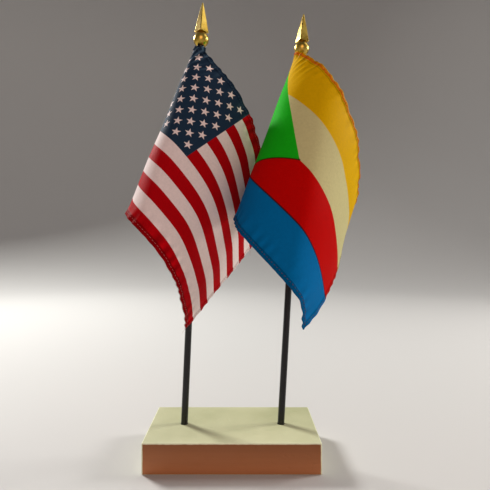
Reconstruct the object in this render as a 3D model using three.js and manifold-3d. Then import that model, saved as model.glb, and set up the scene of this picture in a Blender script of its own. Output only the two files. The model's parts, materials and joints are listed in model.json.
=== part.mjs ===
// Desk flag stand: a painted wooden block that holds two leaning staffs. Each staff carries a gilt
// spear finial and a hemmed stick flag, whose sleeve turns on the staff.
// Millimetres, +Z up, +X to the right and +Y to the back; the origin is the centre of the underside.
import * as THREE from 'three';
import { mergeVertices } from 'three/addons/utils/BufferGeometryUtils.js';
import { RoundedBoxGeometry } from 'three/addons/geometries/RoundedBoxGeometry.js';
import Module from 'manifold-3d';

const GAP = 0.3;                     // clearance between pieces that touch

const BLOCK_LENGTH = 101.6;          // 4 in
const BLOCK_WIDTH = 50.8;            // 2 in
const BLOCK_HEIGHT = 17.8;
const BLOCK_EDGE = 0.6;              // sanded and painted edges

const STAFF_RADIUS = 2.1;
const STAFF_LENGTH = 249;
const STAFF_TIP_ROUND = 0.6;
const SOCKET_DEPTH = 12.8;
const SOCKET_RADIUS = STAFF_RADIUS + GAP;
const STAFF_BOTTOM = -(SOCKET_DEPTH - GAP);      // heights on a staff are from the block's top
const STAFF_TOP = STAFF_BOTTOM + STAFF_LENGTH;

const BALL_RADIUS = 4.75;
const BALL_HEIGHT = 238.6;           // centre of the finial's ball
const NECK_RADIUS = 2.3;
const SPEAR_FOOT = 243;
const SPEAR_HEIGHT = 18.6;
const SPEAR_HALF_DIAGONAL = 4.4;
const SPEAR_TIP_HALF_DIAGONAL = 0.45;

const FLAG_FLY = 152.4;              // 6 in
const FLAG_HOIST = 101.6;            // 4 in
const CLOTH = 0.6;                   // hemmed cloth with its folds, as one thin shell
const SLEEVE_TOP = 233.8;
const SLEEVE_INNER = STAFF_RADIUS + GAP;
const SLEEVE_OUTER = SLEEVE_INNER + CLOTH;
const FIELD_START = 5;                // the seam, from the staff's axis

// How a flag hangs. The cloth only bends about straight creases, so it keeps its flat size. Every crease
// starts on a line just above the top edge: first a fan of them at the staff, then one after another.
const CREASE_SPAN = 130;                                  // length of that line
const FAN_CREASES = 16;
const EDGE_CREASES = 70;
const FAN_STATIONS = [0, 0.25, 0.5, 0.75, 1];             // part of the way through the fan
const SLANT_STATIONS = [0, 40, 85, 130];                  // along the line, from the staff
const BEND_STATIONS = [0, 8, 18, 30, 44, 60, 78, 96, 114, 130];

const STANDARDS = [
  {
    side: 'left',
    footX: -30,
    leanRight: 2.5,                  // degrees
    leanBack: 0,
    spearTurn: 0,
    field: 0x8c1020,
    hang: {
      heading: 165.5,                // where the cloth leaves the staff, degrees from +X
      rise: 10.3,                    // the creases' line above the top edge
      slant: [33.6, 25.5, 14.4, 2.6],               // of the creases, from the staff's direction
      fanBend: [-128, -138, -175, -191, -171],      // degrees in all, if kept up through the fan
      edgeBend: [-3.7, -2.5, -0.9, -0.35, -1.05, -1, -0.45, -0.1, -0.1, -1],       // degrees for each mm
    },
  },
  {
    side: 'right',
    footX: 30,
    leanRight: 3.5,
    leanBack: 2.75,
    spearTurn: -20,
    field: 0x1d6fa8,
    hang: {
      heading: 100.5,
      rise: 0.1,
      slant: [20.3, 38.8, 28.6, 29.5],
      fanBend: [-160, -179, -165, -99, -70],
      edgeBend: [-0.5, -3.85, -3.6, -2.2, -2.4, -0.9, -0.9, -0.3, -0.7, -1.2],
    },
  },
];

const wasm = await Module();
wasm.setup();

const rad = THREE.MathUtils.degToRad;
const stand = new THREE.Group();

function solidOf(geometry) {
  const bare = geometry.clone();
  bare.deleteAttribute('normal');
  bare.deleteAttribute('uv');
  const merged = mergeVertices(bare, 1e-5);
  return new wasm.Manifold(new wasm.Mesh({
    numProp: 3,
    vertProperties: new Float32Array(merged.attributes.position.array),
    triVerts: new Uint32Array(merged.index.array),
  }));
}

function geometryOf(solid) {
  const mesh = solid.getMesh();
  const geometry = new THREE.BufferGeometry();
  geometry.setAttribute('position', new THREE.BufferAttribute(new Float32Array(mesh.vertProperties), 3));
  geometry.setIndex(new THREE.BufferAttribute(new Uint32Array(mesh.triVerts), 1));
  geometry.computeVertexNormals();
  return geometry;
}

function material(color, roughness, metalness) {
  return new THREE.MeshStandardMaterial({ color, roughness, metalness, side: THREE.DoubleSide });
}

const paint = material(0xdedcc0, 0.55, 0);
const lacquer = material(0x0c0c0e, 0.18, 0);
const gilt = material(0xc89a2e, 0.3, 1);

function addPiece(parent, name, geometry, finish) {
  const mesh = new THREE.Mesh(geometry, finish);
  mesh.name = name;
  parent.add(mesh);
}

// A profile of [radius, height] pairs turned about the staff's own axis.
function turned(profile, sides) {
  const points = profile.map(([radius, height]) => new THREE.Vector2(radius, height));
  return new THREE.LatheGeometry(points, sides).rotateX(Math.PI / 2);
}

// The frame of one standard: +Z runs up its staff from the block's top face.
function standardFrame({ footX, leanRight, leanBack }) {
  const frame = new THREE.Group();
  const along = new THREE.Vector3(Math.tan(rad(leanRight)), Math.tan(rad(leanBack)), 1).normalize();
  frame.position.set(footX, 0, BLOCK_HEIGHT);
  frame.quaternion.setFromUnitVectors(new THREE.Vector3(0, 0, 1), along);
  frame.updateMatrixWorld(true);
  return frame;
}

function makeBlock(frames) {
  const box = new RoundedBoxGeometry(BLOCK_LENGTH, BLOCK_WIDTH, BLOCK_HEIGHT, 2, BLOCK_EDGE);
  let block = solidOf(box.translate(0, 0, BLOCK_HEIGHT / 2));
  for (const frame of frames) {
    const drill = new THREE.CylinderGeometry(SOCKET_RADIUS, SOCKET_RADIUS, 2 * SOCKET_DEPTH, 32);
    block = block.subtract(solidOf(drill.rotateX(Math.PI / 2).applyMatrix4(frame.matrixWorld)));
  }
  return geometryOf(block);
}

function makeStaff() {
  return turned([
    [0, STAFF_BOTTOM],
    [STAFF_RADIUS - STAFF_TIP_ROUND, STAFF_BOTTOM],
    [STAFF_RADIUS, STAFF_BOTTOM + STAFF_TIP_ROUND],
    [STAFF_RADIUS, STAFF_TOP],
    [0, STAFF_TOP],
  ], 24);
}

// One moulding: a ball on the staff's end, a short neck and a four-sided spear.
function makeFinial({ spearTurn }) {
  const ball = solidOf(new THREE.SphereGeometry(BALL_RADIUS, 28, 18).translate(0, 0, BALL_HEIGHT));
  const neckLength = SPEAR_FOOT + 1 - BALL_HEIGHT;
  const neck = new THREE.CylinderGeometry(NECK_RADIUS, NECK_RADIUS, neckLength, 20).rotateX(Math.PI / 2);
  neck.translate(0, 0, BALL_HEIGHT + neckLength / 2);
  const spear = new THREE.CylinderGeometry(SPEAR_TIP_HALF_DIAGONAL, SPEAR_HALF_DIAGONAL, SPEAR_HEIGHT, 4);
  spear.rotateX(Math.PI / 2).rotateZ(rad(spearTurn));
  spear.translate(0, 0, SPEAR_FOOT + SPEAR_HEIGHT / 2);
  const boreTop = STAFF_TOP + GAP;
  const bore = new THREE.CylinderGeometry(SOCKET_RADIUS, SOCKET_RADIUS, 20, 24).rotateX(Math.PI / 2);
  bore.translate(0, 0, boreTop - 10);
  return geometryOf(ball.add(solidOf(neck)).add(solidOf(spear)).subtract(solidOf(bore)));
}

function makeSleeve() {
  const bottom = SLEEVE_TOP - FLAG_HOIST;
  return turned([
    [SLEEVE_INNER, bottom],
    [SLEEVE_OUTER, bottom],
    [SLEEVE_OUTER, SLEEVE_TOP],
    [SLEEVE_INNER, SLEEVE_TOP],
    [SLEEVE_INNER, bottom],
  ], 24);
}

// Straight-line interpolation of evenly or unevenly spaced values.
function between(stations, values, at) {
  let i = 0;
  while (i < stations.length - 2 && at > stations[i + 1]) {
    i += 1;
  }
  const part = THREE.MathUtils.clamp((at - stations[i]) / (stations[i + 1] - stations[i]), 0, 1);
  return values[i] + (values[i + 1] - values[i]) * part;
}

// The creases in order, from the staff outwards: where each starts, its slant from the staff's
// direction, and how far the cloth turns at it.
function creasesOf({ slant, fanBend, edgeBend }) {
  const creases = [];
  for (let i = 0; i < FAN_CREASES; i += 1) {
    const part = (i + 0.5) / FAN_CREASES;
    const turn = between(FAN_STATIONS, fanBend, part) / FAN_CREASES;
    creases.push({ start: 0, slant: rad(slant[0] * part), turn: rad(turn) });
  }
  for (let i = 0; i < EDGE_CREASES; i += 1) {
    const start = CREASE_SPAN * (i + 0.5) / EDGE_CREASES;
    const turn = between(BEND_STATIONS, edgeBend, start) * CREASE_SPAN / EDGE_CREASES;
    creases.push({ start, slant: rad(between(SLANT_STATIONS, slant, start)), turn: rad(turn) });
  }
  return creases;
}

// A function from the flat cloth (across the fly, down the hoist) to its place on the staff.
function draped(hang) {
  const heading = rad(hang.heading);
  const across = new THREE.Vector3(Math.cos(heading), Math.sin(heading), 0);
  const down = new THREE.Vector3(0, 0, -1);
  const out = new THREE.Vector3().crossVectors(across, down);
  let panel = new THREE.Matrix4().makeBasis(across, down, out).setPosition(0, 0, SLEEVE_TOP);
  const creases = creasesOf(hang);
  const panels = [panel];
  for (const { start, slant, turn } of creases) {
    const axis = new THREE.Vector3(Math.sin(slant), Math.cos(slant), 0);
    const fold = new THREE.Matrix4().makeTranslation(start, -hang.rise, 0)
      .multiply(new THREE.Matrix4().makeRotationAxis(axis, turn))
      .multiply(new THREE.Matrix4().makeTranslation(-start, hang.rise, 0));
    panel = panel.clone().multiply(fold);
    panels.push(panel);
  }
  return (fly, hoist) => {
    const passed = creases.filter(({ start, slant }) => {
      return (fly - start) * Math.cos(slant) > (hoist + hang.rise) * Math.sin(slant);
    });
    return new THREE.Vector3(fly, hoist, 0).applyMatrix4(panels[passed.length]);
  };
}

// The hemmed field as one closed thin shell: two layers of the same grid and a rim.
function makeField(hang) {
  const flySteps = 28;
  const hoistSteps = 16;
  const surface = draped(hang);
  const flat = (i, j) => [
    FIELD_START + (FLAG_FLY - FIELD_START) * i / flySteps,
    FLAG_HOIST * j / hoistSteps,
  ];
  const middle = (i, j) => surface(...flat(i, j));
  const layer = (sign) => {
    const points = [];
    for (let i = 0; i <= flySteps; i += 1) {
      for (let j = 0; j <= hoistSteps; j += 1) {
        const alongFly = middle(Math.min(i + 1, flySteps), j).sub(middle(Math.max(i - 1, 0), j));
        const alongHoist = middle(i, Math.min(j + 1, hoistSteps)).sub(middle(i, Math.max(j - 1, 0)));
        const normal = alongFly.cross(alongHoist).normalize();
        points.push(middle(i, j).addScaledVector(normal, sign * CLOTH / 2));
      }
    }
    return points;
  };
  const points = [...layer(1), ...layer(-1)];
  const at = (side, i, j) => side * (flySteps + 1) * (hoistSteps + 1) + i * (hoistSteps + 1) + j;
  const faces = [];
  const quad = (a, b, c, d) => faces.push(a, b, c, a, c, d);
  for (let i = 0; i < flySteps; i += 1) {
    for (let j = 0; j < hoistSteps; j += 1) {
      quad(at(0, i, j), at(0, i + 1, j), at(0, i + 1, j + 1), at(0, i, j + 1));
      quad(at(1, i, j), at(1, i, j + 1), at(1, i + 1, j + 1), at(1, i + 1, j));
    }
    quad(at(0, i, 0), at(1, i, 0), at(1, i + 1, 0), at(0, i + 1, 0));
    quad(at(0, i, hoistSteps), at(0, i + 1, hoistSteps), at(1, i + 1, hoistSteps), at(1, i, hoistSteps));
  }
  for (let j = 0; j < hoistSteps; j += 1) {
    quad(at(0, 0, j), at(0, 0, j + 1), at(1, 0, j + 1), at(1, 0, j));
    quad(at(0, flySteps, j), at(1, flySteps, j), at(1, flySteps, j + 1), at(0, flySteps, j + 1));
  }
  const geometry = new THREE.BufferGeometry();
  geometry.setAttribute('position', new THREE.Float32BufferAttribute(points.flatMap((p) => p.toArray()), 3));
  geometry.setIndex(faces);
  geometry.computeVertexNormals();
  return geometry;
}

const frames = STANDARDS.map(standardFrame);
addPiece(stand, 'base_block', makeBlock(frames), paint);
STANDARDS.forEach((standard, i) => {
  const cloth = material(standard.field, 0.6, 0);
  addPiece(frames[i], `${standard.side}_staff`, makeStaff(), lacquer);
  addPiece(frames[i], `${standard.side}_finial`, makeFinial(standard), gilt);
  addPiece(frames[i], `${standard.side}_sleeve`, makeSleeve(), cloth);
  addPiece(frames[i], `${standard.side}_flag`, makeField(standard.hang), cloth);
  stand.add(frames[i]);
});

export default stand;
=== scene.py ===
"""Desk flag stand: a painted block, two lacquered staffs with gilt finials, and two hemmed stick flags.

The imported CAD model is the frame. The hinge of each flag gives its staff's foot and direction. The cloth is
first bent about straight creases, which keeps its flat size, and small folds and puckers are raised on it.
"""
import json
import math

import bpy
import numpy as np
from mathutils import Matrix, Vector


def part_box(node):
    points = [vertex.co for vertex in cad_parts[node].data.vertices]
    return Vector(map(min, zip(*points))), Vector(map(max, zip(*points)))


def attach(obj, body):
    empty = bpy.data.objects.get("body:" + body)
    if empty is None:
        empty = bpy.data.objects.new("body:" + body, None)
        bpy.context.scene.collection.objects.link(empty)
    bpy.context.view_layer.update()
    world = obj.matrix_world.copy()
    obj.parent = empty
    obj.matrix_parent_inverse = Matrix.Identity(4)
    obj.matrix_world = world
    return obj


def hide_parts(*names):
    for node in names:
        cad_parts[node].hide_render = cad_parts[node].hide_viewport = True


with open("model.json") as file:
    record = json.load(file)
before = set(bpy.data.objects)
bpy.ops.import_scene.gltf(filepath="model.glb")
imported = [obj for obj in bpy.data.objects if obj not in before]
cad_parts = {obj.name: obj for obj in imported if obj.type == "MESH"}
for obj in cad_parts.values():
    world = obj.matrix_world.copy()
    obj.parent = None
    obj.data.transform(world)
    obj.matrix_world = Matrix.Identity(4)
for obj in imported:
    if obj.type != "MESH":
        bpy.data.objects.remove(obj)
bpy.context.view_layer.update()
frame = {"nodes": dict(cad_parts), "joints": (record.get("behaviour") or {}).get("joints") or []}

MM = 0.001

# ---------------------------------------------------------------- sizes, in millimetres
FLY = 152.4                       # flat size of a flag, across and down
HOIST = 101.6
CLOTH = 0.16                      # one layer of cloth
HEM = 3.0                         # width of the turned hem
HEM_BUILD = 0.30                  # extra thickness of the turned hem
STITCH_INSET = 1.9                # stitch line, from the edge
SEAM = 5.5                        # sleeve seam, from the staff's axis
LOOP_RADIUS = 2.62                # sleeve's middle layer round the staff
STAFF_RADIUS = 2.1
BALL_RADIUS = 4.75
SPEAR_HALF_DIAGONAL = 4.4
SPEAR_TURN = {"left": 0, "right": -20}     # degrees
PHASES = {"left": 0.0, "right": 2.1}       # where each flag's small waves begin, in radians
GATHERS = {"left": (0.9, 13.0), "right": (1.2, 20.0)}   # height of the folds under the ball, and reach
CURL = 3.3                        # how far the right flag's lowest corner turns back
CURL_REACH = 24.0
FOLD_RUN = (1.45, 0.55)           # folds under the ball: radians for each mm along the fly and down the hoist
FOLD_SWING = (0.17, 0.25)         # their slow sway, in the same units
PUCKER_PITCH = 7.3                # from one pucker of the top hem to the next
WEAVE_PITCH = 0.28                # from one thread of the weave to the next
BALL_DROP = 23.0                  # the ball's centre, below the finial's tip
BALL_FROM, BALL_TO = -62, 60      # the part of the ball that is turned, in degrees from its middle
NECK_RADIUS = 2.3
SPEAR_LENGTH = 18.6
SPEAR_CORNER = 0.45               # roundness of the spear's four edges

# ---------------------------------------------------------------- how each flag hangs
CREASE_SPAN = 130.0
FAN_CREASES = 128
EDGE_CREASES = 560
FAN_STATIONS = (0, 0.25, 0.5, 0.75, 1)
SLANT_STATIONS = (0, 40, 85, 130)
BEND_STATIONS = (0, 8, 18, 30, 44, 60, 78, 96, 114, 130)

HANGS = {
    "left": {
        "heading": 165.5,             # where the cloth leaves the staff, degrees from +X
        "rise": 10.3,                 # the creases' line above the top edge
        "slant": (33.6, 25.5, 14.4, 2.6),              # of the creases, from the staff's direction
        "fan_bend": (-128, -138, -175, -191, -171),    # degrees in all, if kept up through the fan
        # degrees for each mm along the top edge
        "edge_bend": (-3.7, -2.5, -0.9, -0.35, -1.05, -1, -0.45, -0.1, -0.1, -1),
    },
    "right": {
        "heading": 100.5,
        "rise": 0.1,
        "slant": (20.3, 38.8, 28.6, 29.5),
        "fan_bend": (-160, -179, -165, -99, -70),
        "edge_bend": (-0.5, -3.85, -3.6, -2.2, -2.4, -0.9, -0.9, -0.3, -0.7, -1.2),
    },
}


# ---------------------------------------------------------------- the frame's own places
def joint(name):
    return next(j for j in frame["joints"] if j["name"] == name)


def staff_frame(side):
    """The staff's own axes: the origin is its foot on the block, and Z runs up it."""
    hinge = joint(f"{side}_flag_turn")
    turn = Vector((0, 0, 1)).rotation_difference(Vector(hinge["axis"]).normalized())
    return Matrix.Translation(Vector(hinge["pos_m"])) @ turn.to_matrix().to_4x4()


def height_on_staff(side, node, end):
    """How far up the staff a CAD node's lowest (0) or highest (1) point is, in mm."""
    inverse = staff_frame(side).inverted()
    heights = [(inverse @ v.co).z for v in frame["nodes"][node].data.vertices]
    return (max(heights) if end else min(heights)) / MM


# ---------------------------------------------------------------- materials
class Nodes:
    """A short way to write a material's node tree."""

    def __init__(self, name, **settings):
        self.material = bpy.data.materials.new(name)
        self.material.use_nodes = True
        self.tree = self.material.node_tree
        self.shader = self.tree.nodes["Principled BSDF"]
        for key, value in settings.items():
            self.shader.inputs[key.replace("_", " ")].default_value = value

    def node(self, kind, inputs=None, **attributes):
        made = self.tree.nodes.new(kind)
        for key, value in attributes.items():
            setattr(made, key, value)
        for key, value in (inputs or {}).items():
            self.feed(made.inputs[key], value)
        return made

    def feed(self, socket, value):
        if isinstance(value, bpy.types.NodeSocket):
            self.tree.links.new(value, socket)
        else:
            socket.default_value = value

    def math(self, operation, a, b=0.0, clamp=False):
        made = self.node("ShaderNodeMath", {0: a, 1: b}, operation=operation, use_clamp=clamp)
        return made.outputs[0]

    def mix(self, factor, a, b):
        made = self.node("ShaderNodeMix", data_type="RGBA")
        self.feed(made.inputs["Factor"], factor)
        self.feed(made.inputs["A"], a)
        self.feed(made.inputs["B"], b)
        return made.outputs["Result"]

    def place(self):
        """Position in the object's own space, in metres."""
        return self.node("ShaderNodeTexCoord").outputs["Object"]

    def noise(self, scale, detail=3.0, roughness=0.55, vector=None):
        inputs = {"Scale": scale, "Detail": detail, "Roughness": roughness}
        inputs["Vector"] = vector if vector is not None else self.place()
        return self.node("ShaderNodeTexNoise", inputs).outputs["Fac"]

    def spread(self, value, low, high, to_low=0.0, to_high=1.0):
        inputs = {"Value": value, "From Min": low, "From Max": high, "To Min": to_low, "To Max": to_high}
        return self.node("ShaderNodeMapRange", inputs).outputs["Result"]

    def bump(self, height, strength, distance, normal=None):
        inputs = {"Height": height, "Strength": strength, "Distance": distance}
        if normal is not None:
            inputs["Normal"] = normal
        return self.node("ShaderNodeBump", inputs).outputs["Normal"]


def block_paint_and_painted_light():
    """Ivory paint over sanded wood, with painted light: the long sides carry painted shade, a warm brown framed
    by the paint; the ivory is painted lighter towards the left and the front, and a painted highlight runs along
    the edges.
    """
    n = Nodes("ivory_paint_and_painted_light")
    low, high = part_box("base_block")
    place = n.node("ShaderNodeSeparateXYZ", {0: n.place()})
    facing = n.node("ShaderNodeSeparateXYZ", {0: n.node("ShaderNodeTexCoord").outputs["Normal"]})
    ragged = n.math("MULTIPLY", n.noise(300, 3, 0.6), 0.0005)
    from_end = n.math("SUBTRACT", high[0], n.math("ABSOLUTE", place.outputs["X"]))
    from_side = n.math("SUBTRACT", high[1], n.math("ABSOLUTE", place.outputs["Y"]))
    from_top = n.math("SUBTRACT", high[2], place.outputs["Z"])
    framed = n.spread(n.math("SUBTRACT", n.math("MINIMUM", from_end, from_top), ragged), 0.0003, 0.0006)
    painted_shade_side = n.spread(n.math("ABSOLUTE", facing.outputs["Y"]), 0.80, 0.95)
    mottle = n.noise(26, 3)
    # painted light: the ivory is painted lighter towards the left and towards the front, on top of its random
    # mottle
    painted_light_left = n.math("MULTIPLY", place.outputs["X"], -4.0)
    painted_light_front = n.math("MULTIPLY", place.outputs["Y"], -8.0)
    painted_light_slope = n.math("ADD", painted_light_left, painted_light_front)
    tone = n.math("ADD", n.spread(mottle, 0.35, 0.65, 0.25, 0.65), painted_light_slope, clamp=True)
    ivory = n.mix(tone, (0.41, 0.42, 0.235, 1), (0.63, 0.62, 0.40, 1))
    # painted highlight: the paint turns a brighter cream within half a millimetre of the ends and the long sides
    rim = n.math("SUBTRACT", n.math("MINIMUM", from_end, from_side), ragged)
    ivory = n.mix(n.spread(rim, 0.0001, 0.0005), (0.80, 0.81, 0.56, 1), ivory)
    stretched = n.node("ShaderNodeMapping", {"Vector": n.place(), "Scale": (0.2, 1, 4)}).outputs[0]
    # painted shade: the long sides are a warm brown, darker towards the top, with faint darker streaks
    brown = n.mix(n.spread(from_top, 0.0, 0.015), (0.25, 0.078, 0.013, 1), (0.47, 0.170, 0.055, 1))
    brown = n.mix(n.spread(n.noise(90, 5, 0.7, stretched), 0.3, 0.7, 0.12, 0.0), brown, (0.12, 0.04, 0.01, 1))
    # the painted shade brown covers the long sides, inside the ivory frame at the ends and the top
    n.feed(n.shader.inputs["Base Color"], n.mix(n.math("MULTIPLY", painted_shade_side, framed), ivory, brown))
    n.feed(n.shader.inputs["Roughness"], n.spread(mottle, 0.3, 0.7, 0.42, 0.58))
    dents = n.spread(n.noise(230, 2, 0.4), 0.62, 0.70)
    height = n.math("SUBTRACT", n.math("MULTIPLY", n.noise(1400, 3), 0.3), n.math("MULTIPLY", dents, 0.8))
    n.feed(n.shader.inputs["Normal"], n.bump(height, 0.35, 0.0003))
    return n.material


def lacquer():
    n = Nodes("black_lacquer", Base_Color=(0.003, 0.003, 0.004, 1), Specular_IOR_Level=0.3,
              Coat_Weight=0.25, Coat_Roughness=0.12)
    stretched = n.node("ShaderNodeMapping", {"Vector": n.place(), "Scale": (1, 1, 0.06)}).outputs[0]
    streak = n.noise(300, 3, 0.5, stretched)
    n.feed(n.shader.inputs["Roughness"], n.spread(streak, 0.3, 0.7, 0.18, 0.34))
    n.feed(n.shader.inputs["Normal"], n.bump(streak, 0.25, 0.0003))
    return n.material


def gilt():
    n = Nodes("gilt", Metallic=1.0)
    cloud = n.noise(120, 2)
    color = n.mix(n.spread(cloud, 0.35, 0.65), (0.43, 0.265, 0.035, 1), (0.60, 0.42, 0.085, 1))
    n.feed(n.shader.inputs["Base Color"], color)
    n.feed(n.shader.inputs["Roughness"], n.spread(cloud, 0.3, 0.7, 0.24, 0.32))
    n.feed(n.shader.inputs["Normal"], n.bump(n.noise(260, 1), 0.05, 0.0002))
    return n.material


def thread(name, color):
    n = Nodes(name, Roughness=0.6, Specular_IOR_Level=0.15)
    tone = n.noise(2500, 2)
    dark = tuple(0.72 * c for c in color)
    n.feed(n.shader.inputs["Base Color"], n.mix(tone, (*dark, 1), (*color, 1)))
    return n.material


class Cloth(Nodes):
    """Printed satin. The print lies in the flat cloth's own coordinates, in mm from the hoist's top."""

    def __init__(self, name, side, fold_tones, pucker_shade_and_highlight):
        self.phase, self.reach = PHASES[side], GATHERS[side][1]
        self.fold_tones, self.pucker_shade_and_highlight = fold_tones, pucker_shade_and_highlight
        super().__init__(name, Sheen_Weight=0.005, Sheen_Roughness=0.5, Specular_IOR_Level=0.012)
        uv = self.node("ShaderNodeUVMap", uv_map="flat").outputs["UV"]
        parts = self.node("ShaderNodeSeparateXYZ", {0: uv})
        self.fly = self.math("MULTIPLY", parts.outputs["X"], FLY)
        self.hoist = self.math("MULTIPLY", parts.outputs["Y"], HOIST)

    def below(self, value, limit):
        """1 where value is under limit, with an edge as soft as printed ink."""
        return self.spread(value, self.offset(limit, 0.12), self.offset(limit, -0.12))

    def offset(self, limit, by):
        return self.math("ADD", limit, by)

    def both(self, a, b):
        return self.math("MULTIPLY", a, b)

    def folds(self):
        """Painted shade in the valleys and painted highlight on the ridges of the small folds under the ball, the
        same folds as the mesh has.
        """
        sway = self.math("ADD", self.math("MULTIPLY", self.hoist, FOLD_SWING[1]),
                         self.math("MULTIPLY", self.fly, FOLD_SWING[0]))
        swing = self.math("SINE", sway)
        run = self.math("ADD", self.math("MULTIPLY", self.fly, FOLD_RUN[0]),
                        self.math("MULTIPLY", self.hoist, FOLD_RUN[1]))
        wave = self.math("SINE", self.offset(self.math("ADD", run, swing), self.phase))
        near = self.both(self.spread(self.hoist, 2.0, 15.0, 1.0, 0.0),
                         self.spread(self.fly, 0.8 * self.reach, 2.4 * self.reach, 1.0, 0.0))
        near = self.both(near, self.spread(self.noise(110, 1), 0.42, 0.56, 0.15, 1.0))
        dark, light = self.fold_tones
        # painted shade in the fold valleys, painted highlight on the ridges
        tone = self.both(self.spread(wave, -1.0, -0.2, dark, 1.0), self.spread(wave, 0.2, 1.0, 1.0, light))
        return self.spread(near, 0.0, 0.5, 1.0, tone)

    def puckers(self, inset):
        """Painted shade and painted highlight across the short puckers that run in from the hems."""
        swing = self.math("MULTIPLY", self.math("SINE", self.math("MULTIPLY", self.fly, 0.19)), 1.6)
        run = self.math("MULTIPLY", self.fly, 2 * math.pi / PUCKER_PITCH)
        wave = self.math("SINE", self.math("ADD", run, swing))
        near = self.both(self.spread(inset, HEM, HEM + 9, 1.0, 0.0), self.spread(inset, HEM - 0.6, HEM, 0.3, 1.0))
        near = self.both(near, self.spread(self.noise(45, 1), 0.42, 0.60, 0.15, 1.0))
        # painted shade in the pucker valleys, painted highlight on their ridges
        return self.spread(near, 0.0, 1.0, 1.0, self.spread(wave, -1.0, 1.0, *self.pucker_shade_and_highlight))

    def finish_and_painted_light(self, color):
        """Weave and sheen, with painted shade: the turned hems are painted darker, as less light passes through
        two layers of thin cloth; a painted shade line runs along each hem's inner edge; the folds and puckers add
        painted shade and highlight.
        """
        warp = self.math("SINE", self.math("MULTIPLY", self.fly, 2 * math.pi / WEAVE_PITCH))
        weft = self.math("SINE", self.math("MULTIPLY", self.hoist, 2 * math.pi / WEAVE_PITCH))
        weave = self.math("MULTIPLY", warp, weft)
        slub = self.noise(700, 3, 0.6)
        low = self.offset(self.math("MULTIPLY", self.hoist, -1.0), HOIST)
        out = self.offset(self.math("MULTIPLY", self.fly, -1.0), FLY)
        inset = self.math("MINIMUM", self.math("MINIMUM", self.hoist, low), out)
        # painted shade: the turned hems are painted darker, the low hem darker still
        hem = self.both(self.spread(self.below(inset, HEM), 0.0, 1.0, 1.0, 0.86),
                        self.spread(self.below(low, HEM), 0.0, 1.0, 1.0, 0.72))
        # painted shade: a dark line along each hem's inner edge, where the cloth turns
        painted_crease_shade = self.spread(self.math("ABSOLUTE", self.offset(inset, -HEM)), 0.0, 0.35, 0.70, 1.0)
        tone = self.both(self.both(self.spread(slub, 0.25, 0.75, 0.93, 1.05), hem), painted_crease_shade)
        # painted shade and painted highlight of the small folds and the puckers
        tone = self.both(self.both(tone, self.folds()), self.puckers(self.math("MINIMUM", self.hoist, low)))
        shaded = self.node("ShaderNodeVectorMath", operation="SCALE")
        self.feed(shaded.inputs[0], color)
        self.feed(shaded.inputs["Scale"], tone)
        self.feed(self.shader.inputs["Base Color"], shaded.outputs[0])
        self.feed(self.shader.inputs["Roughness"], self.spread(slub, 0.3, 0.7, 0.50, 0.64))
        height = self.math("ADD", self.math("MULTIPLY", weave, 0.5), self.math("MULTIPLY", slub, 0.6))
        self.feed(self.shader.inputs["Normal"], self.bump(height, 0.25, 0.00006))
        return self.material


RED = (0.44, 0.0015, 0.005, 1)
# the white is tinted pink: painted reddish light, the glow of the red stripes in the shaded cloth
WHITE = (0.86, 0.73, 0.71, 1)
NAVY = (0.016, 0.036, 0.070, 1)
# painted highlight: the lighter navy that the ridges of the folds and puckers are painted in
NAVY_PAINTED_HIGHLIGHT = (0.045, 0.085, 0.125, 1)


def striped_cloth():
    """Thirteen stripes and a canton of staggered five-pointed stars."""
    # the two pairs give the painted shade and painted highlight of the folds, then of the puckers
    c = Cloth("striped_print_and_painted_light", "left", (0.45, 1.8), (0.70, 1.5))
    stripe = c.math("FLOOR", c.math("DIVIDE", c.hoist, HOIST / 13))
    odd = c.math("MODULO", stripe, 2.0)
    color = c.mix(odd, RED, WHITE)
    canton_fly = 0.4 * FLY
    canton_hoist = HOIST * 7 / 13
    canton = c.both(c.below(c.fly, canton_fly), c.below(c.hoist, canton_hoist))
    stars = star_field(c, canton_fly / 12, canton_hoist / 10)
    # painted highlight: the navy is painted lighter on the ridges of the folds and puckers
    painted_ridge_highlight = c.math("MAXIMUM", c.spread(c.folds(), 1.0, 1.8), c.spread(c.puckers(c.hoist), 1.0, 1.5))
    field = c.mix(stars, c.mix(painted_ridge_highlight, NAVY, NAVY_PAINTED_HIGHLIGHT), WHITE)
    return c.finish_and_painted_light(c.mix(canton, color, field))


def star_field(c, column, row):
    """1 inside a star: eleven columns and nine rows, every second place filled."""
    radius = 2.85
    waist = 0.382 * radius
    x = c.math("DIVIDE", c.fly, column)
    y = c.math("DIVIDE", c.hoist, row)
    near_x = c.math("ROUND", x)
    near_y = c.math("ROUND", y)
    dx = c.math("MULTIPLY", c.math("SUBTRACT", x, near_x), column)
    dy = c.math("MULTIPLY", c.math("SUBTRACT", near_y, y), row)
    filled = c.math("SUBTRACT", 1.0, c.math("MODULO", c.math("ADD", near_x, near_y), 2.0))
    inside = c.both(c.both(c.below(0.5, near_x), c.below(near_x, 11.5)),
                    c.both(c.below(0.5, near_y), c.below(near_y, 9.5)))
    return c.both(c.both(filled, inside), star(c, dx, dy, radius, waist))


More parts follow.
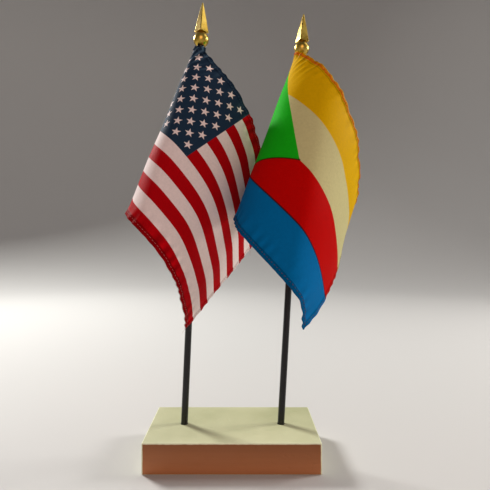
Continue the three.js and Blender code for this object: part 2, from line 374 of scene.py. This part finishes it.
def star(c, dx, dy, radius, waist):
    """1 inside a five-pointed star about the origin, with one point up."""
    distance = c.math("SQRT", c.math("ADD", c.math("MULTIPLY", dx, dx), c.math("MULTIPLY", dy, dy)))
    angle = c.math("ADD", c.math("ARCTAN2", dx, dy), math.pi * 2.2)
    turn = c.math("ABSOLUTE", c.math("SUBTRACT", c.math("MODULO", angle, math.pi * 0.4), math.pi / 5))
    off_point = c.math("SUBTRACT", math.pi / 5, turn)
    notch = waist * math.sin(math.pi / 5)
    slope = radius - waist * math.cos(math.pi / 5)
    under = c.math("ADD", c.math("MULTIPLY", c.math("COSINE", off_point), notch),
                   c.math("MULTIPLY", c.math("SINE", off_point), slope))
    edge = c.math("DIVIDE", radius * notch, under)
    return c.below(distance, edge)


YELLOW = (0.71, 0.41, 0.001, 1)
# the white stripe, painted as a dim yellowish cream: painted warm shade
WHITE_IN_PAINTED_SHADE = (0.60, 0.55, 0.27, 1)
SCARLET = (0.54, 0.0015, 0.001, 1)
BLUE = (0.001, 0.15, 0.40, 1)
GREEN = (0.010, 0.46, 0.010, 1)
ORANGE = (0.78, 0.19, 0.001, 1)


def four_colour_cloth():
    """Four stripes and a triangle at the hoist that reaches half-way along the fly."""
    # the two pairs give the painted shade and painted highlight of the folds, then of the puckers
    c = Cloth("four_stripe_print_and_painted_light", "right", (0.50, 1.22), (0.74, 1.20))
    quarter = HOIST / 4
    color = c.mix(c.below(c.hoist, quarter), WHITE_IN_PAINTED_SHADE, YELLOW)
    color = c.mix(c.below(c.hoist, 2 * quarter), SCARLET, color)
    color = c.mix(c.below(c.hoist, 3 * quarter), BLUE, color)
    from_middle = c.math("ABSOLUTE", c.math("SUBTRACT", c.hoist, HOIST / 2))
    reach = c.math("MULTIPLY", c.math("SUBTRACT", 1.0, c.math("DIVIDE", from_middle, HOIST / 2)), FLY / 2)
    color = c.mix(c.below(c.fly, reach), color, GREEN)
    low_edge = c.math("ABSOLUTE", c.math("DIVIDE", c.math("SUBTRACT", c.fly, reach), 1.8))
    low_edge = c.math("MAXIMUM", low_edge, c.math("SUBTRACT", HOIST / 2, c.hoist))
    from_seam = c.math("ABSOLUTE", c.offset(c.hoist, -3 * quarter))
    across = c.math("MAXIMUM", from_seam, c.math("SUBTRACT", reach, c.fly))
    seams = c.math("MINIMUM", low_edge, across)
    color = c.mix(c.spread(seams, 0.22, 0.62, 0.9, 0.0), color, (0.02, 0.005, 0.004, 1))
    stitched = c.both(c.spread(c.math("ABSOLUTE", c.offset(c.hoist, -1.4)), 0.6, 1.1, 1.0, 0.0),
                      c.spread(c.noise(900, 2), 0.35, 0.55, 0.35, 0.9))
    stitched = c.both(stitched, c.spread(c.fly, 55.0, 85.0, 1.0, 0.35))
    return c.finish_and_painted_light(c.mix(stitched, color, ORANGE))


# ---------------------------------------------------------------- the hanging cloth
def creases_of(hang):
    """Each crease's start, its slant from the staff, and the turn at it."""
    fan = (np.arange(FAN_CREASES) + 0.5) / FAN_CREASES
    along = CREASE_SPAN * (np.arange(EDGE_CREASES) + 0.5) / EDGE_CREASES
    start = np.concatenate([np.zeros(FAN_CREASES), along])
    slant = np.concatenate([hang["slant"][0] * fan, np.interp(along, SLANT_STATIONS, hang["slant"])])
    fan_turn = np.interp(fan, FAN_STATIONS, hang["fan_bend"]) / FAN_CREASES
    edge_turn = np.interp(along, BEND_STATIONS, hang["edge_bend"]) * CREASE_SPAN / EDGE_CREASES
    return start, np.radians(slant), np.radians(np.concatenate([fan_turn, edge_turn]))


def panels_of(hang, sleeve_top):
    """The placement of the flat cloth after each crease, as 4x4 matrices in the staff's frame."""
    heading = math.radians(hang["heading"])
    across = Vector((math.cos(heading), math.sin(heading), 0))
    down = Vector((0, 0, -1))
    panel = Matrix((across, down, across.cross(down))).transposed().to_4x4()
    panel.translation = (0, 0, sleeve_top)
    panels = [np.array(panel)]
    for start, slant, turn in zip(*creases_of(hang)):
        axis = Vector((math.sin(slant), math.cos(slant), 0))
        shift = Matrix.Translation((start, -hang["rise"], 0))
        panel = panel @ shift @ Matrix.Rotation(turn, 4, axis) @ shift.inverted()
        panels.append(np.array(panel))
    return np.array(panels)


class Hanging:
    """Takes a place on the flat cloth to its place and its outward normal in the staff's frame."""

    def __init__(self, side):
        self.hang = HANGS[side]
        self.phase = PHASES[side]
        self.gathers, self.gather_reach = GATHERS[side]
        self.curl = 0.0 if side == "left" else CURL
        self.top = height_on_staff(side, f"{side}_sleeve", 1)
        self.panels = panels_of(self.hang, self.top)
        self.start, self.slant, _ = creases_of(self.hang)

    def at(self, fly, hoist):
        fly, hoist = np.broadcast_arrays(np.asarray(fly, float), np.asarray(hoist, float))
        shape = fly.shape
        fly, hoist = fly.ravel(), hoist.ravel()
        passed = np.zeros(len(fly), int)
        for start, slant in zip(self.start, self.slant):
            passed += (fly - start) * math.cos(slant) > (hoist + self.hang["rise"]) * math.sin(slant)
        flat = np.stack([fly, hoist, np.zeros_like(fly), np.ones_like(fly)], axis=1)
        placed = np.einsum("nij,nj->ni", self.panels[passed], flat)[:, :3]
        return placed.reshape(*shape, 3)

    def surface(self, fly, hoist):
        step = 0.4
        place = self.at(fly, hoist)
        across = self.at(fly + step, hoist) - self.at(fly - step, hoist)
        down = self.at(fly, hoist + step) - self.at(fly, hoist - step)
        normal = np.cross(across, down)
        normal /= np.linalg.norm(normal, axis=-1, keepdims=True)
        return place, normal

    def relief(self, fly, hoist):
        """Puckers along the hems and the seam, folds, wrinkles and the curl, in mm along the normal."""
        p = self.phase
        wave = np.sin(2 * math.pi * fly / PUCKER_PITCH + 1.6 * np.sin(fly / 5.3 + p) + p)
        swell = np.sin(2 * math.pi * fly / 23 + 1.1 * np.sin(fly / 11 + p))
        top = np.exp(-hoist / 4.5) * wave + 1.3 * np.exp(-hoist / 13) * swell
        low = HOIST - hoist
        bottom = np.exp(-low / 4.5) * np.sin(2 * math.pi * fly / 6.6 + 1.9 * np.sin(fly / 6.1) + 2 * p)
        bottom = bottom + 1.2 * np.exp(-low / 12) * np.sin(2 * math.pi * fly / 26 + 2 + p)
        out = FLY - fly
        end = np.exp(-out / 4.0) * np.sin(2 * math.pi * hoist / 8.1 + 1.5 * np.sin(hoist / 6.0 + p))
        past_seam = np.maximum(fly - SEAM, 0)
        seam = np.exp(-past_seam / 5.0) * np.sin(2 * math.pi * hoist / 6.9 + 2 * np.sin(hoist / 7 + p))
        soft = np.sin((0.8 * fly + hoist) / 9.5 + p) * np.sin((fly - 0.6 * hoist) / 17 + 1.3 * p + 0.7)
        fade = np.clip((fly - SEAM) / 4, 0, 1)
        swing = np.sin(FOLD_SWING[1] * hoist + FOLD_SWING[0] * fly)
        folds = np.sin(fly * FOLD_RUN[0] + hoist * FOLD_RUN[1] + swing + p)
        gather = np.exp(-hoist / 8 - past_seam / self.gather_reach) * folds
        relief = 0.36 * top + 0.36 * bottom + 0.20 * end + 0.30 * soft + self.gathers * gather
        corner = np.clip(1 - np.hypot(out, low) / CURL_REACH, 0, 1) ** 2
        return fade * relief + 0.13 * seam * fade ** 0.5 + self.curl * corner

    def skin(self, fly, hoist, lift):
        """A place that is lift mm off the middle of the cloth, on its outward side."""
        place, normal = self.surface(fly, hoist)
        return place + normal * (self.relief(fly, hoist) + lift)[..., None]


def hem_profile(fly, hoist):
    """1 on the turned hem, falling to 0 at its inner edge; the hoist edge has the sleeve instead."""
    inset = np.minimum(np.minimum(hoist, HOIST - hoist), FLY - fly)
    return 1 / (1 + np.exp((inset - HEM) / 0.12))


def hem_cushion(fly, hoist):
    """The outward roundness of the hem, pressed in along its stitches."""
    inset = np.minimum(np.minimum(hoist, HOIST - hoist), FLY - fly)
    round_edge = np.sqrt(np.clip(1 - ((inset - 1.2) / 1.9) ** 2, 0, 1))
    return round_edge - 0.8 * np.exp(-((inset - STITCH_INSET) / 0.35) ** 2)


def mesh_object(name, vertices, faces, material, smooth=True):
    mesh = bpy.data.meshes.new(name)
    mesh.from_pydata([tuple(v) for v in vertices], [], faces)
    mesh.validate()
    mesh.update()
    made = bpy.data.objects.new(name, mesh)
    bpy.context.scene.collection.objects.link(made)
    made.data.materials.append(material)
    if smooth:
        mesh.polygons.foreach_set("use_smooth", [True] * len(mesh.polygons))
    return made


def to_row(points, matrix):
    """Points in the staff's frame, in mm, as points in the row frame, in metres."""
    points = np.asarray(points, float).reshape(-1, 3) * MM
    rotation, shift = np.array(matrix.to_3x3()), np.array(matrix.translation)
    return points @ rotation.T + shift


def make_field(side, hanging, material):
    """The flag's cloth with its turned hems, as one closed thin piece."""
    columns = np.concatenate([np.linspace(SEAM, FLY - 5, 200), np.linspace(FLY - 5, FLY, 17)[1:]])
    rows = np.concatenate([np.linspace(0, 5, 17), np.linspace(5, HOIST - 5, 120)[1:-1],
                           np.linspace(HOIST - 5, HOIST, 17)])
    fly, hoist = np.meshgrid(columns, rows, indexing="ij")
    hem = hem_profile(fly, hoist)
    front = hanging.skin(fly, hoist, CLOTH / 2 + 0.12 * hem_cushion(fly, hoist))
    back = hanging.skin(fly, hoist, -CLOTH / 2 - HEM_BUILD * hem)
    return closed_sheet(f"{side}_cloth", side, front, back, fly, hoist, material)


def make_sleeve(side, hanging, material):
    """The hoist edge folded round the staff and sewn back, as one closed thin loop, open at both ends."""
    rows = np.concatenate([np.linspace(0, 6, 14), np.linspace(6, HOIST - 4, 60)[1:-1],
                           np.linspace(HOIST - 4, HOIST, 8)])
    seam = hanging.skin(np.full_like(rows, SEAM), rows, np.zeros_like(rows))
    reach = np.hypot(seam[:, 0], seam[:, 1])
    bearing = np.arctan2(seam[:, 1], seam[:, 0])
    loose = 0.55 * np.exp(-rows / 7) + 0.35 * np.exp(-(HOIST - rows) / 6) + 0.07 * np.sin(rows / 3.1)
    radius = np.minimum(LOOP_RADIUS + loose, reach - 0.35)
    spread = np.arccos(radius / reach)
    layers = []
    for lift in (CLOTH / 2, -CLOTH / 2):
        r = radius + lift
        tip = reach + lift
        loop = []
        for t in np.linspace(0, 1, 8)[:-1]:
            loop.append(between_points(r, tip, bearing, spread, 1, 1 - t))
        for t in np.linspace(1, -1, 27):
            away = bearing + math.pi + (spread - math.pi) * t
            loop.append(np.stack([r * np.cos(away), r * np.sin(away)], axis=1))
        for t in np.linspace(0, 1, 8)[1:]:
            loop.append(between_points(r, tip, bearing, spread, -1, t))
        plan = np.array(loop)
        height = np.broadcast_to(seam[:, 2], plan.shape[:2])
        layers.append(np.concatenate([plan, height[..., None]], axis=2))
    outer, inner = layers
    run = np.cumsum(np.linalg.norm(np.diff(outer, axis=0, prepend=outer[:1]), axis=2), axis=0)
    fly = SEAM - run
    hoist = np.broadcast_to(rows, fly.shape)
    return closed_sheet(f"{side}_sleeve_loop", side, inner, outer, fly, hoist, material)


def between_points(r, tip, bearing, spread, sign, t):
    """From the loop's tangent point (t = 0) to the seam (t = 1), in plan."""
    a = bearing + sign * spread
    start = np.stack([r * np.cos(a), r * np.sin(a)], axis=1)
    end = np.stack([tip * np.cos(bearing), tip * np.sin(bearing)], axis=1)
    return start + (end - start) * t


def closed_sheet(name, side, front, back, fly, hoist, material):
    """Two layers of the same grid and the rim between them, with the flat cloth's coordinates."""
    across, down = fly.shape
    count = across * down
    index = np.arange(count).reshape(across, down)

    def quads(ids, flip):
        a, b, c, d = ids[:-1, :-1], ids[1:, :-1], ids[1:, 1:], ids[:-1, 1:]
        order = (a, d, c, b) if flip else (a, b, c, d)
        return np.stack([x.ravel() for x in order], axis=1)

    def rim(edge):
        return np.stack([edge[:-1], edge[:-1] + count, edge[1:] + count, edge[1:]], axis=1)

    faces = np.concatenate([
        quads(index, False),
        quads(index + count, True),
        rim(index[:, 0]),
        rim(index[:, -1])[:, ::-1],
        rim(index[0, :])[:, ::-1],
        rim(index[-1, :]),
    ])
    points = np.concatenate([front.reshape(-1, 3), back.reshape(-1, 3)])
    made = mesh_object(name, to_row(points, staff_frame(side)), faces.tolist(), material)
    flat = np.stack([fly.ravel() / FLY, hoist.ravel() / HOIST], axis=1)
    paint_flat(made, np.concatenate([flat, flat]))
    return made


def paint_flat(made, flat):
    """Stores the flat cloth's coordinates, 0 to 1 each way, as the UV map that the print reads."""
    layer = made.data.uv_layers.new(name="flat")
    corners = np.zeros(len(made.data.loops), int)
    made.data.loops.foreach_get("vertex_index", corners)
    layer.data.foreach_set("uv", flat[corners].ravel())


# ---------------------------------------------------------------- threads
def tubes(name, paths, normals, radius, matrix, material, sides=6):
    """Many short round threads as one piece: paths and normals are (threads, points, 3)."""
    paths, normals = np.asarray(paths), np.asarray(normals)
    count, steps, _ = paths.shape
    along = np.gradient(paths, axis=1)
    along /= np.linalg.norm(along, axis=2, keepdims=True)
    side = np.cross(along, normals)
    side /= np.linalg.norm(side, axis=2, keepdims=True)
    up = np.cross(side, along)
    angle = 2 * math.pi * np.arange(sides) / sides
    ring = side[:, :, None] * np.cos(angle)[:, None] + up[:, :, None] * np.sin(angle)[:, None]
    points = paths[:, :, None] + radius * ring
    index = np.arange(count * steps * sides).reshape(count, steps, sides)
    a, b = index[:, :-1], index[:, 1:]
    walls = np.stack([a, b, np.roll(b, -1, axis=2), np.roll(a, -1, axis=2)], axis=-1).reshape(-1, 4)
    faces = walls.tolist() + index[:, 0].tolist() + index[:, -1, ::-1].tolist()
    return mesh_object(name, to_row(points, matrix), faces, material)


TOP, LOW, END, SLEEVE = range(4)


def stitch_rows(which, inset, pitch, first, last):
    """Starts and directions of the stitches along one edge, in the flat cloth."""
    across = np.arange(first, last, pitch)
    down = np.arange(inset, HOIST - inset, pitch)
    if which == TOP:
        return [((x, inset), (1, 0)) for x in across]
    if which == LOW:
        return [((x, HOIST - inset), (1, 0)) for x in across]
    x = FLY - inset if which == END else SEAM + 0.7
    return [((x, y), (0, 1)) for y in down]


def make_stitches(name, side, hanging, material, rows, pitch, length, radius, zigzag=0.0, inset=STITCH_INSET,
                  first=SEAM + 2, last=FLY - STITCH_INSET):
    """Lock stitches on both faces of the hems; zigzag is how far every second one swings sideways."""
    rng = np.random.default_rng(len(name))
    flat = []
    run = np.linspace(0, 1, 6)
    for which in rows:
        for i, ((fly, hoist), (dx, dy)) in enumerate(stitch_rows(which, inset, pitch, first, last)):
            off = zigzag * (1 if i % 2 else -1) * (run - 0.5) * 2 + rng.normal(0, 0.05)
            step = length * rng.uniform(0.9, 1.06) * run
            flat.append(np.stack([fly + dx * step + dy * off, hoist + dy * step + dx * off], axis=1))
    flat = np.array(flat)
    arch = radius * np.array([-1.4, 0.2, 0.8, 0.8, 0.2, -1.4])
    paths, normals = [], []
    for face in (1, -1):
        rest = CLOTH / 2 if face > 0 else CLOTH / 2 + HEM_BUILD
        lift = np.broadcast_to(face * (rest + arch), flat.shape[:2])
        paths.append(hanging.skin(flat[..., 0], flat[..., 1], lift))
        normals.append(hanging.surface(flat[..., 0], flat[..., 1])[1] * face)
    return tubes(name, np.concatenate(paths), np.concatenate(normals), radius, staff_frame(side), material)


def make_loose_threads(side, hanging, material):
    """Frayed ends that hang from the hems' corners."""
    paths = []
    for fly, hoist, out, fall in ((22, HOIST - 0.4, (-2.5, -3.0), 7.5), (26, HOIST - 0.4, (-4.5, -1.0), 9.5),
                                  (FLY - 1, HOIST - 0.5, (-1.5, 0.5), 3.5), (FLY - 0.4, 24, (1.5, -0.5), 4.0)):
        start = hanging.skin(np.array([float(fly)]), np.array([float(hoist)]), np.zeros(1))[0]
        t = np.linspace(0, 1, 12)
        drop = np.stack([out[0] * t + 0.5 * np.sin(5 * t), out[1] * t, -fall * t ** 1.4], axis=1)
        paths.append(start + drop)
    paths = np.array(paths)
    normals = np.broadcast_to(np.array([0.3, -0.9, 0.2]), paths.shape)
    return tubes(f"{side}_loose_threads", paths, normals, 0.06, staff_frame(side), material)


# ---------------------------------------------------------------- turned and cast pieces
def loft(name, rings, matrix, material, sharp=35):
    """Rings of points, from the lowest to the highest, joined and capped."""
    rings = np.asarray(rings, float)
    index = np.arange(rings.shape[0] * rings.shape[1]).reshape(rings.shape[:2])
    a, b = index[:-1], index[1:]
    walls = np.stack([a, np.roll(a, -1, axis=1), np.roll(b, -1, axis=1), b], axis=-1).reshape(-1, 4)
    faces = walls.tolist() + [index[0, ::-1].tolist(), index[-1].tolist()]
    made = mesh_object(name, to_row(rings, matrix), faces, material)
    made.data.set_sharp_from_angle(angle=math.radians(sharp))
    smooth = made.modifiers.new("weighted", "WEIGHTED_NORMAL")
    smooth.keep_sharp = True
    return made


def lathe(name, profile, matrix, material, sides=64):
    angle = 2 * math.pi * np.arange(sides) / sides
    rings = [[(r * math.cos(a), r * math.sin(a), z) for a in angle] for r, z in profile]
    return loft(name, rings, matrix, material)


def make_staff(side, material):
    low = height_on_staff(side, f"{side}_staff", 0)
    high = height_on_staff(side, f"{side}_staff", 1)
    profile = [(STAFF_RADIUS - 0.6, low), (STAFF_RADIUS, low + 0.6)]
    for i in range(1, 40):
        z = low + 0.6 + (high - low - 0.6) * i / 40
        profile.append((STAFF_RADIUS + 0.02 * math.sin(z / 17) + 0.012 * math.sin(z / 5.3), z))
    profile += [(STAFF_RADIUS, high)]
    return lathe(f"{side}_lacquered_staff", profile, staff_frame(side), material)


def make_ball(side, material):
    """The ball with its short neck, cast in one with the spear."""
    top = height_on_staff(side, f"{side}_finial", 1)
    centre = top - BALL_DROP
    profile = []
    for i in range(33):
        a = math.radians(BALL_FROM + i * (BALL_TO - BALL_FROM) / 32)
        profile.append((BALL_RADIUS * math.cos(a), centre + BALL_RADIUS * math.sin(a)))
    profile += [(NECK_RADIUS, centre + 4.25), (NECK_RADIUS, centre + 4.9)]
    return lathe(f"{side}_finial_ball", profile, staff_frame(side), material)


def make_spear(side, material):
    """A four-sided spear: a small foot, a long slightly swollen taper, and a blunt tip."""
    top = height_on_staff(side, f"{side}_finial", 1)
    foot = top - SPEAR_LENGTH
    stations = [(-0.30, 0.0), (-0.09, 0.08), (0, 0.28)]
    for i in range(1, 12):
        t = i / 12
        stations.append((-3.93 * t + 0.12 * math.sin(math.pi * t), 0.28 + 17.9 * t))
    stations += [(-3.93, 18.2), (-4.1, SPEAR_LENGTH)]
    rings = []
    for grow, z in stations:
        half = SPEAR_HALF_DIAGONAL + grow
        corner = min(SPEAR_CORNER, 0.8 * half)
        out = half - corner * math.sqrt(2) + corner * 0.42
        ring = []
        for quarter in range(4):
            middle = math.radians(SPEAR_TURN[side]) + quarter * math.pi / 2
            for step in np.linspace(-math.pi / 4, math.pi / 4, 7):
                ring.append((out * math.cos(middle) + corner * math.cos(middle + step),
                             out * math.sin(middle) + corner * math.sin(middle + step), foot + z))
        rings.append(ring)
    return loft(f"{side}_finial_spear", rings, staff_frame(side), material, 50)


# ---------------------------------------------------------------- camera, light and stage
def make_camera():
    camera = bpy.data.cameras.new("camera")
    camera.lens = 30.97
    camera.sensor_width = 36
    camera.shift_x = 0.0065
    camera.shift_y = -0.0169
    made = bpy.data.objects.new("camera", camera)
    made.location = (0.0057, -0.262, 0.1338)
    made.rotation_euler = (math.pi / 2, 0, 0)
    bpy.context.scene.collection.objects.link(made)
    bpy.context.scene.camera = made


def make_light(name, place, target, size, energy, color):
    lamp = bpy.data.lights.new(name, "AREA")
    lamp.shape = "DISK"
    lamp.size = size
    lamp.energy = energy
    lamp.color = color
    made = bpy.data.objects.new(name, lamp)
    made.location = place
    made.rotation_euler = (Vector(target) - Vector(place)).to_track_quat("-Z", "Y").to_euler()
    made.visible_camera = False
    bpy.context.scene.collection.objects.link(made)


def make_stage():
    """A pale round floor that curves up into a wall all the way round."""
    floor = Nodes("pale_floor", Base_Color=(0.58, 0.57, 0.555, 1), Roughness=0.8)
    flat, bend, rise, sides = 0.85, 0.95, 2.0, 96
    profile = [(0.25, 0.0), (flat, 0.0)]
    for i in range(1, 25):
        a = math.pi / 2 * i / 24
        profile.append((flat + bend * math.sin(a), bend - bend * math.cos(a)))
    profile.append((flat + bend, rise))
    angles = [2 * math.pi * i / sides for i in range(sides)]
    vertices = [(r * math.cos(a), r * math.sin(a), z) for r, z in profile for a in angles]
    faces = [tuple(range(sides))]
    for ring in range(len(profile) - 1):
        for i in range(sides):
            here, after = ring * sides + i, ring * sides + (i + 1) % sides
            faces.append((here, here + sides, after + sides, after))
    mesh_object("backdrop", vertices, faces, floor.material)
    world = bpy.data.worlds.new("world")
    world.use_nodes = True
    world.node_tree.nodes["Background"].inputs["Color"].default_value = (0.95, 0.96, 1.0, 1)
    world.node_tree.nodes["Background"].inputs["Strength"].default_value = 0.17
    bpy.context.scene.world = world
    bpy.context.scene.view_settings.view_transform = "Standard"
    middle = (0, 0, 0.14)
    make_light("key", (-0.68, 0.54, 0.72), middle, 0.28, 12.5, (1.0, 1.0, 0.97))
    make_light("side", (0.84, 0.20, 0.50), middle, 0.30, 4.8, (1.0, 0.98, 0.95))
    make_light("glint", (0.62, 0.05, 0.92), (0, 0, 0.26), 0.45, 1.0, (1.0, 0.97, 0.90))
    make_light("fill", (0.05, -1.15, 0.5), middle, 0.8, 3.3, (1.0, 0.64, 0.55))


def make_trim(side, hanging):
    """The stitching of one flag, and the left flag's loose threads."""
    if side == "left":
        pale = thread("pale_thread", (0.50, 0.20, 0.19))
        navy = thread("navy_thread", (0.05, 0.09, 0.16))
        pink = thread("pink_thread", (0.42, 0.08, 0.09))
        canton = 0.4 * FLY
        return [
            make_stitches("left_low_stitches", side, hanging, pale, [LOW], 1.9, 1.25, 0.10),
            make_stitches("left_canton_stitches", side, hanging, navy, [TOP], 1.7, 1.2, 0.12, last=canton),
            make_stitches("left_top_stitches", side, hanging, pink, [TOP], 1.9, 1.25, 0.10, first=canton),
            make_stitches("left_fly_stitches", side, hanging, pink, [END], 1.9, 1.25, 0.10),
            make_stitches("left_sleeve_stitches", side, hanging, navy, [SLEEVE], 1.9, 1.3, 0.11),
            make_loose_threads(side, hanging, pale),
        ]
    rust = thread("rust_thread", (0.78, 0.16, 0.002))
    brown = thread("brown_thread", (0.20, 0.035, 0.012))
    return [
        make_stitches("right_top_stitches", side, hanging, rust, [TOP], 1.1, 1.5, 0.20, 0.8, 1.5),
        make_stitches("right_low_stitches", side, hanging, brown, [LOW], 1.9, 1.0, 0.12),
        make_stitches("right_fly_stitches", side, hanging, brown, [END], 1.9, 1.0, 0.11),
        make_stitches("right_sleeve_stitches", side, hanging, rust, [SLEEVE], 1.9, 1.3, 0.11),
    ]


# ---------------------------------------------------------------- assembly
make_camera()
make_stage()
finishes = {"left": striped_cloth(), "right": four_colour_cloth()}
black = lacquer()
gold = gilt()
block = frame["nodes"]["base_block"]
block.data.materials.clear()
block.data.materials.append(block_paint_and_painted_light())
for side, print_ in finishes.items():
    hanging = Hanging(side)
    staff = make_staff(side, black)
    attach(staff, f"{side}_standard")
    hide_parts(f"{side}_staff")
    for piece in (make_ball(side, gold), make_spear(side, gold)):
        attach(piece, f"{side}_standard")
        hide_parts(f"{side}_finial")
    sleeve = make_sleeve(side, hanging, print_)
    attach(sleeve, f"{side}_cloth")
    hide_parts(f"{side}_sleeve")
    cloth = make_field(side, hanging, print_)
    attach(cloth, f"{side}_cloth")
    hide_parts(f"{side}_flag")
    trims = make_trim(side, hanging)
    for trim in trims:
        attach(trim, f"{side}_cloth")
